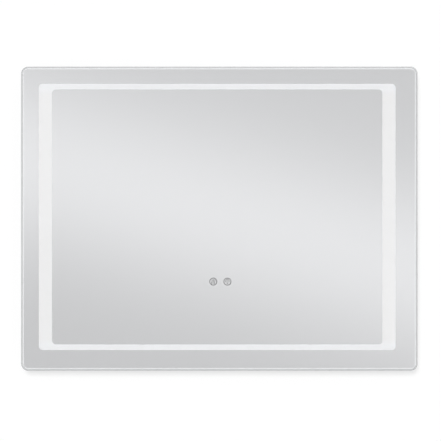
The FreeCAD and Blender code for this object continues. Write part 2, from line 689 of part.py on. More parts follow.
# ---- light trays ---------------------------------------------------------------------------------
def tray_box(side):
    """(x0, x1, z0, z1) of a tray's outside."""
    half_x, half_z = WINDOW_WIDTH / 2, WINDOW_HEIGHT / 2
    sx, sz = SIDES[side]
    if sx:
        xs = sorted(WINDOW_X + sx * v for v in (half_x + TRAY_EDGE, half_x - WINDOW_SIDE_BAND - TRAY_EDGE))
        return xs[0], xs[1], WINDOW_Z - half_z - TRAY_EDGE, WINDOW_Z + half_z + TRAY_EDGE
    zs = sorted(WINDOW_Z + sz * v for v in (half_z + TRAY_EDGE, half_z - WINDOW_END_BAND - TRAY_EDGE))
    reach = half_x - WINDOW_SIDE_BAND - TRAY_EDGE - TRAY_SEAM
    return WINDOW_X - reach, WINDOW_X + reach, zs[0], zs[1]


def tray_screw_points(side):
    """Seats of the screws that hold one tray to the back cover, clear of its LED strip."""
    x0, x1, z0, z1 = tray_box(side)
    sx, sz = SIDES[side]
    if sx:
        x = (x0 + x1) / 2 - sx * TRAY_SCREW_OFFSET_SIDE
        zs = spread(z0 + TRAY_SCREW_END_GAP, z1 - TRAY_SCREW_END_GAP, TRAY_SCREWS_SIDE)
        return [Vector(x, Y_COVER_BACK, z) for z in zs]
    z = (z0 + z1) / 2 - sz * TRAY_SCREW_OFFSET_END
    xs = spread(x0 + TRAY_SCREW_END_GAP, x1 - TRAY_SCREW_END_GAP, TRAY_SCREWS_END)
    return [Vector(x, Y_COVER_BACK, z) for x in xs]


def jumper_runs():
    """(start, end) of the short leads that link the strips through the tray walls."""
    y = Y_STRIP_FRONT - JUMPER_DIAMETER / 2
    runs = []
    for end in ("top", "bottom"):
        x0, x1, z0, z1 = tray_box(end)
        z = (z0 + z1) / 2
        through = TRAY_WALL + TRAY_SEAM + TRAY_WALL + JUMPER_REACH
        inside = TRAY_WALL + STRIP_END_GAP + JUMPER_REACH
        runs.append((Vector(x0 + inside, y, z), Vector(x0 - through, y, z)))
        runs.append((Vector(x1 - inside, y, z), Vector(x1 + through, y, z)))
    return runs


def light_tray(side):
    """One folded tray: floor on the back cover, rim behind the diffuser."""
    tray = open_box(*tray_box(side), Y_COVER_FRONT, Y_TRAY_RIM, TRAY_WALL)
    tray = drill(tray, tray_screw_points(side), TO_WALL, SCREW_RADIUS + SCREW_CLEARANCE, SCREW_LENGTH)
    for start, end in jumper_runs():
        tray = tray.cut(rod(start, end, JUMPER_DIAMETER / 2 + LEAD_HOLE_CLEARANCE))
    if side == "bottom":
        tray = tray.cut(led_lead(2 * LEAD_HOLE_CLEARANCE))
    return tray


def diffuser(side):
    """The opal strip between a tray's rim and the glass."""
    x0, x1, z0, z1 = tray_box(side)
    return block(x0, x1, Y_TRAY_RIM, Y_FILM_BACK, z0, z1)


def strip_box(side):
    """(x0, x1, z0, z1) of the LED strip on a tray's floor."""
    x0, x1, z0, z1 = tray_box(side)
    end = TRAY_WALL + STRIP_END_GAP
    if SIDES[side][0]:
        middle = (x0 + x1) / 2
        return middle - STRIP_WIDTH_SIDE / 2, middle + STRIP_WIDTH_SIDE / 2, z0 + end, z1 - end
    middle = (z0 + z1) / 2
    return x0 + end, x1 - end, middle - STRIP_WIDTH_END / 2, middle + STRIP_WIDTH_END / 2


def led_strip(side):
    """The flexible circuit that carries the chips."""
    x0, x1, z0, z1 = strip_box(side)
    return block(x0, x1, Y_TRAY_FLOOR, Y_STRIP_FRONT, z0, z1)


def led_chips():
    """Every chip on the four strips."""
    y0, y1 = Y_STRIP_FRONT, Y_STRIP_FRONT - CHIP_HEIGHT
    chips = []
    for side, (sx, _) in SIDES.items():
        x0, x1, z0, z1 = strip_box(side)
        length = z1 - z0 if sx else x1 - x0
        count = int((length - 2 * CHIP_PITCH) / CHIP_PITCH) + 1
        reach = (count - 1) * CHIP_PITCH / 2
        for along in spread(-reach, reach, count):
            cx, cz = (x0 + x1) / 2, (z0 + z1) / 2
            if sx:
                cz += along
                half_x, half_z = CHIP_WIDTH / 2, CHIP_LENGTH / 2
            else:
                cx += along
                half_x, half_z = CHIP_LENGTH / 2, CHIP_WIDTH / 2
            chips.append(block(cx - half_x, cx + half_x, y0, y1, cz - half_z, cz + half_z))
    return Part.makeCompound(chips)


def strip_jumpers():
    """The short leads from strip to strip at the four corners."""
    return Part.makeCompound([rod(start, end, JUMPER_DIAMETER / 2) for start, end in jumper_runs()])


# ---- back cover ----------------------------------------------------------------------------------
def bead(x, grow, y0, y1):
    """The outline of one stiffening bead, as a plate with round ends."""
    width = BEAD_WIDTH + 2 * grow
    length = BEAD_LENGTH + 2 * grow
    return plate(x, MIRROR_Z + BEAD_SHIFT_Z, width, length, width / 2, y0, y1)


def back_cover():
    """The steel sheet that closes the chassis, with beads, vents and the junction box opening."""
    width, height = CHASSIS_WIDTH - 2 * COVER_INSET, CHASSIS_HEIGHT - 2 * COVER_INSET
    cover = plate(0, MIRROR_Z, width, height, COVER_CORNER_RADIUS, Y_COVER_FRONT, Y_COVER_BACK)
    y_bead = Y_COVER_BACK + BEAD_HEIGHT
    for x in (-BEAD_X, BEAD_X):
        cover = cover.fuse(bead(x, 0, Y_COVER_BACK, y_bead))
        cover = cover.cut(bead(x, -COVER_THICKNESS, Y_COVER_FRONT, y_bead - COVER_THICKNESS))
    cover = cover.removeSplitter()
    cover = cover.cut(plate(BOX_X, BOX_Z, BOX_WIDTH - 2 * BOX_LIP, BOX_HEIGHT - 2 * BOX_LIP, BOX_LIP,
                            Y_COVER_FRONT, Y_COVER_BACK))
    for sx in (-1, 1):
        for i in range(VENT_COUNT):
            x = sx * VENT_X + (i - (VENT_COUNT - 1) / 2) * VENT_PITCH
            slot = plate(x, MIRROR_Z + VENT_ABOVE_CENTRE, VENT_WIDTH, VENT_LENGTH,
                         VENT_WIDTH / 2, Y_COVER_FRONT, Y_COVER_BACK)
            cover = cover.cut(slot)
    points = cover_screw_points() + hanger_screw_points() + bumper_points() + driver_screw_points()
    points += lid_screw_points()
    for side in SIDES:
        points += tray_screw_points(side)
    return drill(cover, points, TO_WALL, SCREW_RADIUS + SCREW_CLEARANCE, SCREW_LENGTH)


# ---- rails ---------------------------------------------------------------------------------------
def z_rail(length, points):
    """A folded Z section along X, from its outline in (y, z)."""
    ring = [Vector(-length / 2, y, z) for y, z in points]
    rail = Part.Face(Part.makePolygon(ring + ring[:1])).extrude(Vector(length, 0, 0))
    return rail.makeFillet(RAIL_EDGE_ROUND, edges_along_x(rail, length))


def wall_rail():
    """The rail on the wall: a web against the wall and a hook that stands up clear of it."""
    t = RAIL_THICKNESS
    y_hook_back = -(t + HOOK_POCKET)
    y_hook_front = y_hook_back - t
    rail = z_rail(RAIL_LENGTH, [
        (0, -RAIL_WEB_BELOW), (0, Z_SHELF), (y_hook_back, Z_SHELF), (y_hook_back, Z_HOOK_TOP),
        (y_hook_front, Z_HOOK_TOP), (y_hook_front, Z_SHELF - t), (-t, Z_SHELF - t), (-t, -RAIL_WEB_BELOW)])
    holes = [Vector(s * WALL_HOLE_SPACING / 2, 0, 0) for s in (-1, 1)]
    return drill(rail, holes, TO_WALL, WALL_HOLE_RADIUS, WALL_GAP)


def hanger_rail():
    """The mirror's rail: a web on the back cover and a hook that hangs down behind the wall rail's."""
    t = RAIL_THICKNESS
    y_hook_front = -(t + HOOK_POCKET) + HOOK_SIDE_CLEARANCE
    y_hook_back = y_hook_front + t
    z_web_top = Z_HANGER_SHELF + HANGER_WEB_HEIGHT
    rail = z_rail(HANGER_LENGTH, [
        (y_hook_back, Z_SHELF), (y_hook_back, Z_HANGER_SHELF + t), (Y_HANGER_BACK, Z_HANGER_SHELF + t),
        (Y_HANGER_BACK, z_web_top), (Y_COVER_BACK, z_web_top), (Y_COVER_BACK, Z_HANGER_SHELF),
        (y_hook_front, Z_HANGER_SHELF), (y_hook_front, Z_SHELF)])
    return drill(rail, hanger_screw_points(), TO_WALL, SCREW_RADIUS + SCREW_CLEARANCE, WALL_GAP)


def backing_bar():
    """The steel bar inside the cover that the hanger screws thread into."""
    points = hanger_screw_points()
    z = points[0].z
    bar = block(-HANGER_LENGTH / 2, HANGER_LENGTH / 2, Y_COVER_FRONT - BACKING_BAR_THICKNESS, Y_COVER_FRONT,
                z - BACKING_BAR_HEIGHT / 2, z + BACKING_BAR_HEIGHT / 2)
    return drill(bar, points, TO_WALL, SCREW_RADIUS + SCREW_CLEARANCE, WALL_GAP + HANGER_SCREW_LENGTH)


def wall_bumpers():
    """Two rubber feet whose faces rest on the wall."""
    feet = []
    for p in bumper_points():
        foot = rod_y(p.x, p.z, Y_COVER_BACK, 0, BUMPER_RADIUS)
        foot = foot.makeFillet(BUMPER_EDGE_ROUND, edges_at(foot, 0))
        foot = foot.cut(rod_y(p.x, p.z, Y_COVER_BACK + BUMPER_SEAT_DEPTH, 0, BUMPER_COUNTERBORE_RADIUS))
        foot = foot.cut(rod_y(p.x, p.z, Y_COVER_BACK, 0, SCREW_RADIUS + SCREW_CLEARANCE))
        feet.append(foot)
    return Part.makeCompound(feet)


def bumper_screws():
    """A screw sunk in each bumper."""
    seats = [p + TO_WALL * BUMPER_SEAT_DEPTH for p in bumper_points()]
    return screws_at(seats, TO_WALL, SCREW_LENGTH + BUMPER_SEAT_DEPTH)


# ---- heating pad ---------------------------------------------------------------------------------
def demister_pad():
    """The thin heating film stuck behind the middle of the mirror."""
    return plate(0, PAD_Z, PAD_WIDTH, PAD_HEIGHT, PAD_CORNER_RADIUS, Y_FILM_BACK, Y_PAD_BACK)


def demister_terminal():
    """The small block where the pad's lead is joined."""
    half = PAD_TERMINAL_WIDTH / 2
    return block(PAD_TERMINAL_X - half, PAD_TERMINAL_X + half, Y_PAD_BACK, Y_PAD_BACK + PAD_TERMINAL_DEPTH,
                 PAD_TERMINAL_BOTTOM, PAD_TERMINAL_BOTTOM + PAD_TERMINAL_HEIGHT)


# ---- touch sensor --------------------------------------------------------------------------------
def sensor_housing():
    """The tray stuck behind the icons, open towards the glass."""
    x0, x1 = ICON_SHIFT_X - SENSOR_WIDTH / 2, ICON_SHIFT_X + SENSOR_WIDTH / 2
    z0, z1 = ICON_Z - SENSOR_HEIGHT / 2, ICON_Z + SENSOR_HEIGHT / 2
    housing = open_box(x0, x1, z0, z1, Y_SENSOR_BACK, Y_FILM_BACK, SENSOR_WALL)
    return housing.cut(sensor_lead(2 * LEAD_HOLE_CLEARANCE)).cut(demister_lead(2 * LEAD_HOLE_CLEARANCE))


def sensor_board():
    """The sensor's circuit board, on the floor of its housing."""
    inset = SENSOR_WALL + SENSOR_BOARD_CLEARANCE
    half_x, half_z = SENSOR_WIDTH / 2 - inset, SENSOR_HEIGHT / 2 - inset
    return block(ICON_SHIFT_X - half_x, ICON_SHIFT_X + half_x, Y_SENSOR_BOARD, Y_SENSOR_BACK - SENSOR_WALL,
                 ICON_Z - half_z, ICON_Z + half_z)


def sensor_contacts():
    """The two pads that feel a finger through the glass, each on its stem."""
    contacts = []
    for x in (DEMIST_ICON_X, LIGHT_ICON_X):
        disc = rod_y(x, ICON_Z, Y_FILM_BACK, Y_FILM_BACK + CONTACT_THICKNESS, CONTACT_RADIUS)
        stem = rod_y(x, ICON_Z, Y_FILM_BACK, Y_SENSOR_BOARD, CONTACT_STEM_RADIUS)
        contacts.append(disc.fuse(stem).removeSplitter())
    return Part.makeCompound(contacts)


# ---- LED driver ----------------------------------------------------------------------------------
def driver_base():
    """The driver's case: a deep tray on the back cover, with an ear at each end."""
    x0, x1 = DRIVER_X - DRIVER_LENGTH / 2, DRIVER_X + DRIVER_LENGTH / 2
    z0, z1 = DRIVER_Z - DRIVER_HEIGHT / 2, DRIVER_Z + DRIVER_HEIGHT / 2
    case = open_box(x0, x1, z0, z1, Y_COVER_FRONT, Y_DRIVER_RIM, DRIVER_WALL)
    y_ear = Y_COVER_FRONT - DRIVER_EAR_THICKNESS
    ears = [block(x, x + s * DRIVER_EAR_LENGTH, Y_COVER_FRONT, y_ear, z0, z1) for s, x in ((-1, x0), (1, x1))]
    posts = [rod_y(x, z, Y_DRIVER_FLOOR, Y_BOARD_BACK, DRIVER_POST_RADIUS) for x, z in driver_post_places()]
    case = case.fuse(ears + posts).removeSplitter()
    case = drill(case, driver_screw_points(), TO_WALL, SCREW_RADIUS + SCREW_CLEARANCE, SCREW_LENGTH)
    for cutter in (mains_lead, led_lead, sensor_lead):
        case = case.cut(cutter(2 * LEAD_HOLE_CLEARANCE))
    return case


def driver_post_places():
    """(x, z) of each of the four posts under the driver's board."""
    half_x = DRIVER_LENGTH / 2 - DRIVER_WALL - DRIVER_POST_INSET
    half_z = DRIVER_HEIGHT / 2 - DRIVER_WALL - DRIVER_POST_INSET
    return [(DRIVER_X + sx * half_x, DRIVER_Z + sz * half_z) for sx in (-1, 1) for sz in (-1, 1)]


def driver_lid():
    """The flat lid of the driver."""
    return block(DRIVER_X - DRIVER_LENGTH / 2, DRIVER_X + DRIVER_LENGTH / 2,
                 Y_DRIVER_RIM, Y_DRIVER_RIM - DRIVER_LID_THICKNESS,
                 DRIVER_Z - DRIVER_HEIGHT / 2, DRIVER_Z + DRIVER_HEIGHT / 2)


def driver_board():
    """The driver's circuit board, on its four posts."""
    inset = DRIVER_WALL + DRIVER_BOARD_CLEARANCE
    half_x, half_z = DRIVER_LENGTH / 2 - inset, DRIVER_HEIGHT / 2 - inset
    return block(DRIVER_X - half_x, DRIVER_X + half_x, Y_BOARD_BACK, Y_BOARD_FRONT,
                 DRIVER_Z - half_z, DRIVER_Z + half_z)


def driver_transformer():
    """The transformer, at the middle of the board."""
    return block(DRIVER_X - TRANSFORMER_LENGTH / 2, DRIVER_X + TRANSFORMER_LENGTH / 2,
                 Y_BOARD_FRONT, Y_DRIVER_RIM + TRANSFORMER_LID_GAP,
                 DRIVER_Z - TRANSFORMER_HEIGHT / 2, DRIVER_Z + TRANSFORMER_HEIGHT / 2)


def driver_capacitors():
    """A row of can capacitors beside the transformer."""
    x0 = DRIVER_X + TRANSFORMER_LENGTH / 2 + CAPACITOR_PITCH / 2
    y_top = Y_DRIVER_RIM + CAPACITOR_LID_GAP
    cans = [rod_y(x0 + i * CAPACITOR_PITCH, DRIVER_Z, Y_BOARD_FRONT, y_top, CAPACITOR_RADIUS)
            for i in range(CAPACITOR_COUNT)]
    return Part.makeCompound(cans)


# ---- junction box --------------------------------------------------------------------------------
def junction_box():
    """The tub behind the opening in the back cover, with a solid corner for each of the lid's screws."""
    x0, x1 = BOX_X - BOX_WIDTH / 2, BOX_X + BOX_WIDTH / 2
    z0, z1 = BOX_Z - BOX_HEIGHT / 2, BOX_Z + BOX_HEIGHT / 2
    tub = open_box(x0, x1, z0, z1, Y_BOX_FLOOR, Y_COVER_FRONT, BOX_WALL)
    bosses = []
    for x, z, p in zip((x0, x1), (z0, z1), lid_screw_points()):
        bosses.append(rod_y(p.x, p.z, Y_BOX_FLOOR, Y_COVER_FRONT, BOX_BOSS_RADIUS))
        bosses.append(block(x, p.x, Y_BOX_FLOOR, Y_COVER_FRONT, z, p.z))
    tub = tub.fuse(bosses).removeSplitter()
    for p in lid_screw_points():
        tub = tub.cut(rod_y(p.x, p.z, p.y - BOX_SCREW_LENGTH, p.y, SCREW_RADIUS + SCREW_CLEARANCE))
    return tub.cut(mains_lead(2 * LEAD_HOLE_CLEARANCE))


def junction_lid():
    """The lid outside the cover, with a round hole for the grommet."""
    lid = plate(BOX_X, BOX_Z, BOX_WIDTH + 2 * LID_OVERLAP, BOX_HEIGHT + 2 * LID_OVERLAP, LID_CORNER_RADIUS,
                Y_COVER_BACK, Y_COVER_BACK + LID_THICKNESS)
    lid = drill(lid, lid_screw_points(), TO_WALL, SCREW_RADIUS + SCREW_CLEARANCE, SCREW_LENGTH)
    hole = GROMMET_NECK_RADIUS + GROMMET_CLEARANCE
    return lid.cut(rod_y(BOX_X + GROMMET_X, BOX_Z, Y_COVER_FRONT, 0, hole))


def cable_grommet():
    """The rubber ring in the lid that the mains cable passes through: a neck between two flanges."""
    x, z = BOX_X + GROMMET_X, BOX_Z
    y_in, y_out = Y_COVER_BACK, Y_COVER_BACK + LID_THICKNESS
    neck = rod_y(x, z, y_in, y_out, GROMMET_NECK_RADIUS)
    inner = rod_y(x, z, y_in - GROMMET_FLANGE_THICKNESS, y_in, GROMMET_FLANGE_RADIUS)
    outer = rod_y(x, z, y_out, y_out + GROMMET_FLANGE_THICKNESS, GROMMET_FLANGE_RADIUS)
    ring = neck.fuse([inner, outer]).removeSplitter()
    return ring.cut(rod_y(x, z, y_in - GROMMET_FLANGE_THICKNESS, 0, GROMMET_BORE_RADIUS))


def terminal_block():
    """The row of mains terminals on the floor of the box, with a groove between poles."""
    x, half_x, half_z = BOX_X + TERMINAL_SHIFT_X, TERMINAL_LENGTH / 2, TERMINAL_HEIGHT / 2
    y0 = Y_BOX_FLOOR + BOX_WALL
    y1 = y0 + TERMINAL_DEPTH
    body = block(x - half_x, x + half_x, y0, y1, BOX_Z - half_z, BOX_Z + half_z)
    for i in range(1, TERMINAL_POLES):
        gx = x - half_x + i * TERMINAL_LENGTH / TERMINAL_POLES
        groove = block(gx - TERMINAL_GROOVE / 2, gx + TERMINAL_GROOVE / 2, y1 - TERMINAL_DEPTH / 3, y1,
                       BOX_Z - half_z, BOX_Z + half_z)
        body = body.cut(groove)
    return body


def terminal_screws():
    """Two clamping screws for each pole."""
    pitch = TERMINAL_LENGTH / TERMINAL_POLES
    y = Y_BOX_FLOOR + BOX_WALL + TERMINAL_DEPTH
    heads = []
    for i in range(TERMINAL_POLES):
        x = BOX_X + TERMINAL_SHIFT_X - TERMINAL_LENGTH / 2 + (i + 0.5) * pitch
        for s in (-1, 1):
            z = BOX_Z + s * TERMINAL_HEIGHT / 4
            heads.append(rod_y(x, z, y, y + TERMINAL_SCREW_STAND, TERMINAL_SCREW_RADIUS))
    return Part.makeCompound(heads)


# ---- leads ---------------------------------------------------------------------------------------
def mains_lead(grow=0.0):
    """The lead from the junction box to the driver. grow widens it, to cut the holes that it needs."""
    x0 = BOX_X - BOX_WIDTH / 2 + BOX_WALL + LEAD_REACH
    x1 = DRIVER_X + DRIVER_LENGTH / 2 - DRIVER_WALL - LEAD_REACH
    start, end = Vector(x0, Y_DRIVER_ENTRY, BOX_Z), Vector(x1, Y_DRIVER_ENTRY, DRIVER_Z)
    if abs(BOX_Z - DRIVER_Z) < 1e-6:
        return rod(start, end, (MAINS_LEAD_DIAMETER + grow) / 2)
    middle = (x0 + x1) / 2
    return lead([start, Vector(middle, start.y, start.z), Vector(middle, end.y, end.z), end],
                MAINS_LEAD_DIAMETER + grow)


def led_lead_points():
    """The route of the lead from the driver to the strip in the bottom tray."""
    x = DRIVER_X - DRIVER_LENGTH / 2 + DRIVER_WALL + LEAD_REACH
    z_tray = tray_box("bottom")[3]
    return [Vector(x, Y_DRIVER_ENTRY, DRIVER_Z), Vector(X_DRIVER_END, Y_DRIVER_ENTRY, DRIVER_Z),
            Vector(LED_LEAD_X, Y_LEAD_COVER, DRIVER_Z),
            Vector(LED_LEAD_X, Y_LEAD_COVER, z_tray - TRAY_WALL - LEAD_REACH)]


def led_lead(grow=0.0):
    """The lead that feeds the LED strips."""
    return lead(led_lead_points(), LED_LEAD_DIAMETER + grow)


def sensor_lead_points():
    """The route of the lead from the touch sensor up to the driver."""
    x = ICON_SHIFT_X - SENSOR_WIDTH / 2 + SENSOR_WALL + LEAD_REACH
    z_driver = DRIVER_Z - DRIVER_HEIGHT / 2
    z_step = PAD_Z - PAD_HEIGHT / 2
    return [Vector(x, Y_LEAD_GLASS, ICON_Z), Vector(SENSOR_LEAD_X, Y_LEAD_GLASS, ICON_Z),
            Vector(SENSOR_LEAD_X, Y_LEAD_GLASS, z_step),
            Vector(SENSOR_LEAD_X, Y_DRIVER_ENTRY, z_step + SENSOR_LEAD_RISE),
            Vector(SENSOR_LEAD_X, Y_DRIVER_ENTRY, z_driver + DRIVER_WALL + LEAD_REACH)]


def sensor_lead(grow=0.0):
    """The lead between the touch sensor and the driver."""
    return lead(sensor_lead_points(), SENSOR_LEAD_DIAMETER + grow)


def demister_lead_points():
    """The route of the lead from the touch sensor to the heating pad's terminal."""
    x = ICON_SHIFT_X + SENSOR_WIDTH / 2 - SENSOR_WALL - LEAD_REACH
    return [Vector(x, Y_LEAD_GLASS, ICON_Z), Vector(PAD_TERMINAL_X, Y_LEAD_GLASS, ICON_Z),
            Vector(PAD_TERMINAL_X, Y_LEAD_GLASS, PAD_TERMINAL_BOTTOM)]


def demister_lead(grow=0.0):
    """The lead that feeds the heating pad."""
    return lead(demister_lead_points(), SENSOR_LEAD_DIAMETER + grow)


def saddle(point, along, diameter, y_base):
    """A stick-on block that holds a lead at point, running along that axis, to the sheet at y_base."""
    toward = 1 if point.y > y_base else -1
    y_top = point.y + toward * (diameter / 2 + SADDLE_CROWN)
    half_x, half_z = SADDLE_WIDTH / 2, SADDLE_LENGTH / 2
    if abs(along.x) > 0.5:
        half_x, half_z = half_z, half_x
    body = block(point.x - half_x, point.x + half_x, y_base, y_top, point.z - half_z, point.z + half_z)
    hole = (diameter + 2 * LEAD_HOLE_CLEARANCE) / 2
    return body.cut(rod(point - along * SADDLE_LENGTH, point + along * SADDLE_LENGTH, hole))


def cable_saddles():
    """The saddles along the three long leads."""
    along_x, along_z = Vector(1, 0, 0), Vector(0, 0, 1)
    led, sensor, demister = led_lead_points(), sensor_lead_points(), demister_lead_points()
    shares = spread(LED_SADDLE_FROM_END, 1 - LED_SADDLE_FROM_END, LED_SADDLES)
    saddles = [saddle(led[2] + (led[3] - led[2]) * share, along_z, LED_LEAD_DIAMETER, Y_COVER_FRONT)
               for share in shares]
    saddles.append(saddle((sensor[0] + sensor[1]) * 0.5, along_x, SENSOR_LEAD_DIAMETER, Y_FILM_BACK))
    saddles.append(saddle((demister[0] + demister[1]) * 0.5, along_x, SENSOR_LEAD_DIAMETER, Y_FILM_BACK))
    return Part.makeCompound(saddles)


# ---- every node, by name -------------------------------------------------------------------------
def nodes():
    """The name and the shape of each piece."""
    made = {
        "wall_rail": wall_rail(),
        "glass_pane": glass_pane(),
        "silver_border": silver_border(),
        "silver_centre": silver_centre(),
        "frosted_window": frosted_window(),
        "demist_icon": demist_icon(),
        "light_icon": light_icon(),
        "safety_film_border": safety_film_border(),
        "safety_film_centre": safety_film_centre(),
        "bonding_tape": bonding_tape(),
        "corner_brackets": corner_brackets(),
        "corner_screws": corner_screws(),
        "led_chips": led_chips(),
        "strip_jumpers": strip_jumpers(),
        "back_cover": back_cover(),
        "cover_screws": screws_at(cover_screw_points(), TO_WALL),
        "tray_screws": screws_at([p for side in SIDES for p in tray_screw_points(side)], TO_WALL),
        "hanger_rail": hanger_rail(),
        "backing_bar": backing_bar(),
        "hanger_screws": screws_at(hanger_screw_points(), TO_WALL, HANGER_SCREW_LENGTH),
        "wall_bumpers": wall_bumpers(),
        "bumper_screws": bumper_screws(),
        "demister_pad": demister_pad(),
        "demister_terminal": demister_terminal(),
        "demister_lead": demister_lead(),
        "sensor_housing": sensor_housing(),
        "sensor_board": sensor_board(),
        "sensor_contacts": sensor_contacts(),
        "sensor_lead": sensor_lead(),
        "driver_base": driver_base(),
        "driver_lid": driver_lid(),
        "driver_board": driver_board(),
        "driver_transformer": driver_transformer(),
        "driver_capacitors": driver_capacitors(),
        "driver_screws": screws_at(driver_screw_points(), TO_WALL),
        "junction_box": junction_box(),
        "junction_lid": junction_lid(),
        "junction_lid_screws": screws_at(lid_screw_points(), TO_WALL, BOX_SCREW_LENGTH),
        "cable_grommet": cable_grommet(),
        "terminal_block": terminal_block(),
        "terminal_screws": terminal_screws(),
        "mains_lead": mains_lead(),
        "led_lead": led_lead(),
        "cable_saddles": cable_saddles(),
    }
    for side in SIDES:
        made["chassis_" + side] = chassis_side(side)
        made["light_tray_" + side] = light_tray(side)
        made["diffuser_" + side] = diffuser(side)
        made["led_strip_" + side] = led_strip(side)
    return made


def main():
    """Writes each piece to parts/ and says how many solids it holds."""
    os.makedirs("parts", exist_ok=True)
    for name, shape in nodes().items():
        shape.exportStep(os.path.join("parts", name + ".step"))
        size = shape.BoundBox
        print(f"{name}: {len(shape.Solids)} solids, valid {shape.isValid()}, volume {shape.Volume:.1f},",
              f"{size.XLength:.1f} x {size.YLength:.1f} x {size.ZLength:.1f}")


main()
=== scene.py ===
import json
import math

import bpy
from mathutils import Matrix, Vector

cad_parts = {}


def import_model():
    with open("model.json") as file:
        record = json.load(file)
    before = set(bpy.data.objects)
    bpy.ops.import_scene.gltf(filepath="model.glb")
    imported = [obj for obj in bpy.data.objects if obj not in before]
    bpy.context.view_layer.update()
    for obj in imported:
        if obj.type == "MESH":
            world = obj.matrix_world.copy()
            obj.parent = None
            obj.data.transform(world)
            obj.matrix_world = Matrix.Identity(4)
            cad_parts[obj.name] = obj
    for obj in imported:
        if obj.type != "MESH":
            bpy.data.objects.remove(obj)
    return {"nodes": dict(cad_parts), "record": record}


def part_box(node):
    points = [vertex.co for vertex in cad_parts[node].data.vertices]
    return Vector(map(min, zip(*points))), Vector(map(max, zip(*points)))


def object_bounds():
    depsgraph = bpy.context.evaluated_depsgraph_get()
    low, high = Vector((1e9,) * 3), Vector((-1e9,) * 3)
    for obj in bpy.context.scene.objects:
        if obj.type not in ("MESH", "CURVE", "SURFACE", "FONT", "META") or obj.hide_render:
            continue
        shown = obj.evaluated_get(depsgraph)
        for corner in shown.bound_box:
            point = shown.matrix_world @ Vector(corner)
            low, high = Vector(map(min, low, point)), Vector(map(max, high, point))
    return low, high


# The looks of a lighted bathroom mirror. Metres, in the row frame: +X right, +Z up, +Y into the wall.
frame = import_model()
nodes = frame["nodes"]
cad_low, cad_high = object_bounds()
glass_low, glass_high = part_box("glass_pane")
glass_centre = (glass_low + glass_high) / 2
SLOTS = {part["node"]: part["material_slot"] for part in frame["record"]["subparts"]}

# ---- the photograph's framing --------------------------------------------------------------------
PHOTO_SIDE = 441            # pixels
GLASS_PIXELS = 396.5        # the glass's width in the photograph, in pixels
GLASS_PIXEL_X = 219.35      # its centre there, from the left
GLASS_PIXEL_Y = 218.7       # and from the top
CAMERA_DISTANCE = 6.0       # from the glass
SENSOR_WIDTH = 36.0         # millimetres

# ---- the lamps -----------------------------------------------------------------------------------
# A share of 1 lights matt white that is square to the row's Y to a brightness of 1.
KEY_SHARE = 0.62            # from in front; the ambient light gives the rest
KEY_ACROSS = 0.160          # how far the key light moves right, and down, for each metre towards the wall
KEY_DOWN = 0.36
KEY_ANGLE = math.radians(20.5)      # how wide the lamp looks
REAR_SHARE = 0.55           # from behind, at the middle of the back
REAR_LAMP = Vector((0.9, 1.9, 1.0))         # where that lamp hangs
REAR_LAMP_SIZE = 0.7

# ---- the pale wall and floor ---------------------------------------------------------------------
STAGE_SIZE = 16.0
STAGE_ALBEDO = 0.28         # how much of the lamps' light they give back
STAGE_MOTTLE = 1.02         # how much lighter their lightest patches are
WALL_GLOW = 0.73            # the light of their own that the camera sees
FLOOR_GLOW = 0.80
WALL_GAP = 0.0006           # from the back of the part to the wall
FLOOR_BELOW = 0.19          # from the bottom of the part down to the floor

# ---- what the mirror shows of the studio ---------------------------------------------------------
# Soft streaks in front of the glass: bright diagonal ridges. Their places and widths are measured on
# directions of length 1.
RIDGE_ANGLE = math.radians(15.5)
RIDGE_CENTRE = 0.0032
RIDGE_PITCH = 0.26
RIDGE_WIDTH = 0.0362
RIDGE_PEAK = 0.787          # brightness on a ridge
RIDGE_DROP = 0.206          # and how much less there is between two
RIDGE_SKEW = 0.0158         # how much more that is on one side of a ridge
SEEN_SHARE = 0.924          # of the studio's light that comes back through the glass

# Beyond the streaks, the studio's level by the angle from straight out of the glass, in degrees.
STREAKS_END = 7.6
ROOM_LEVELS = ((8.6, 1.15), (14.0, 1.15), (18.0, 0.8), (34.0, 0.7), (45.0, 0.8), (90.0, 0.8), (180.0, 0.8))
WAVE_START = 34.0           # where broad diagonal waves and a darker floor side begin, in degrees
WAVE_FULL = 50.0
WAVE_PITCH = 0.55
WAVE_HEIGHT = 0.07
FLOOR_SLOPE = 0.22


# ---- node helpers --------------------------------------------------------------------------------
WHITE = (1, 1, 1, 1)
BLACK = (0, 0, 0, 1)
NOISE_MIDDLE = 0.3, 0.7     # the range that most of a noise lies in


